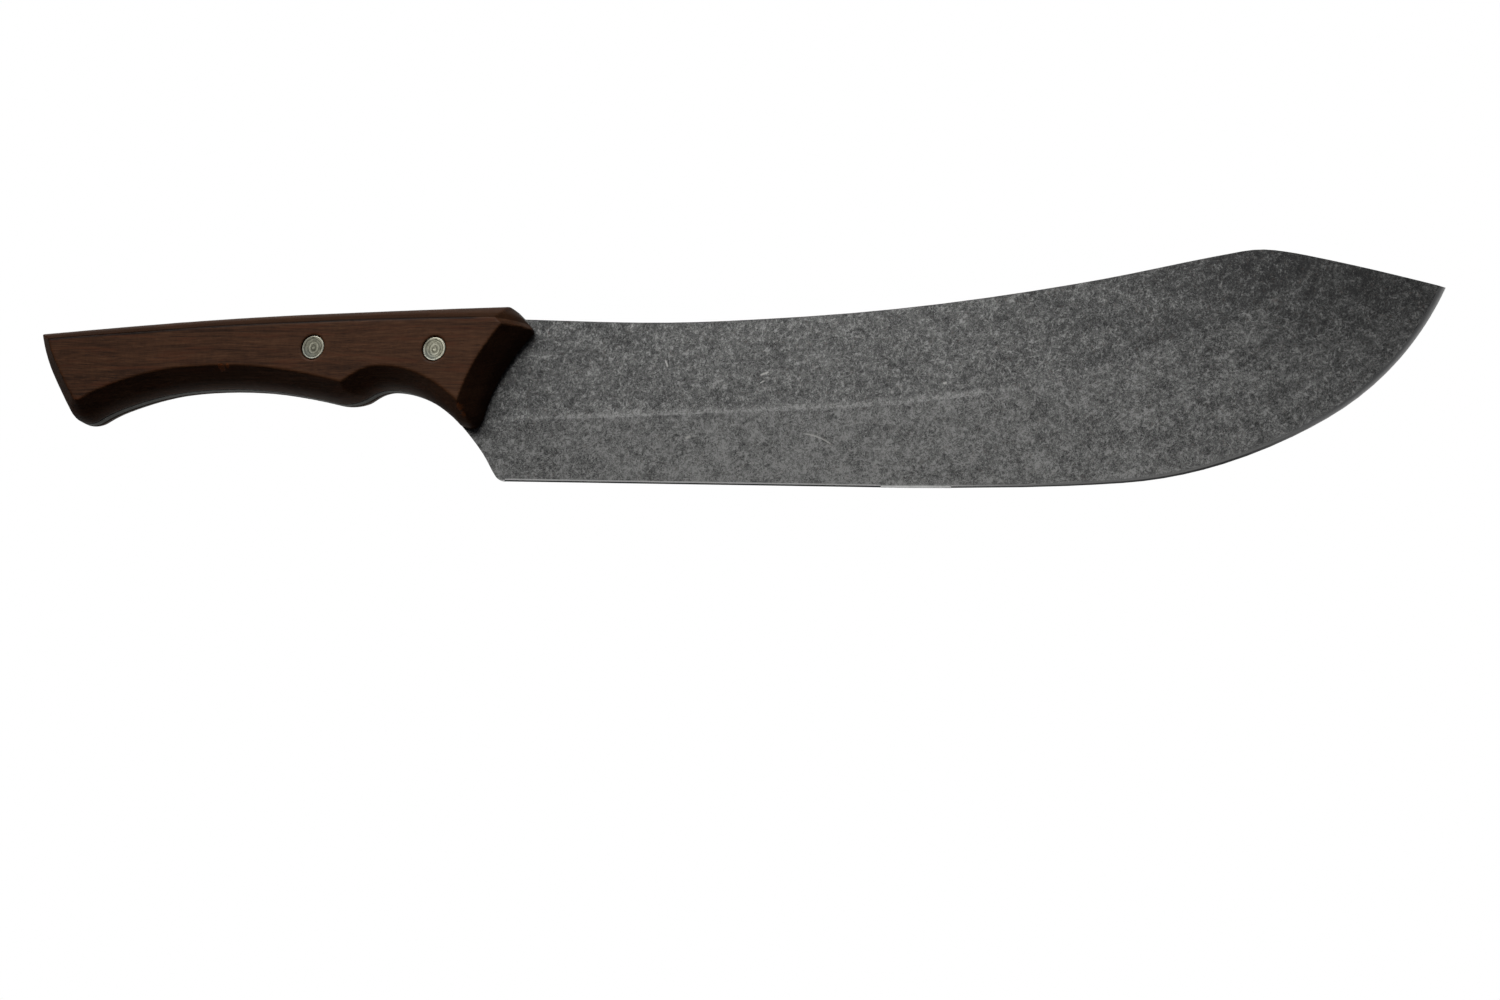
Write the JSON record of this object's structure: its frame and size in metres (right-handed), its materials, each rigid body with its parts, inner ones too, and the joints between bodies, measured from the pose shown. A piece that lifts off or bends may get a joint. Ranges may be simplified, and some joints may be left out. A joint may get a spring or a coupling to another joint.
{
  "type": "butcher's knife",
  "caption": "Full-tang butcher's knife with a long upswept blackened blade and riveted dark wood scales, for breaking down and slicing meat.",
  "frame": {"origin": "centre of the knife's bounding box, in the blade's middle plane", "axes": "+X along the knife from butt to tip, +Z towards the spine, -Z towards the cutting edge, Y across the blade's thickness"},
  "size_m": [0.3986, 0.02, 0.064],
  "materials": {
    "blackened_steel": "blackened and stonewashed, with fine curly scratches and a bright sharpened edge",
    "walnut": "oiled dark walnut, satin, grain along the handle",
    "rivet_metal": "turned, dull, with fine concentric rings"
  },
  "bodies": {
    "root": {"blade": "blackened_steel", "scale_left": "walnut", "scale_right": "walnut", "rivet_front_male": "rivet_metal", "rivet_front_female": "rivet_metal", "rivet_rear_male": "rivet_metal", "rivet_rear_female": "rivet_metal"}
  },
  "joints": []
}
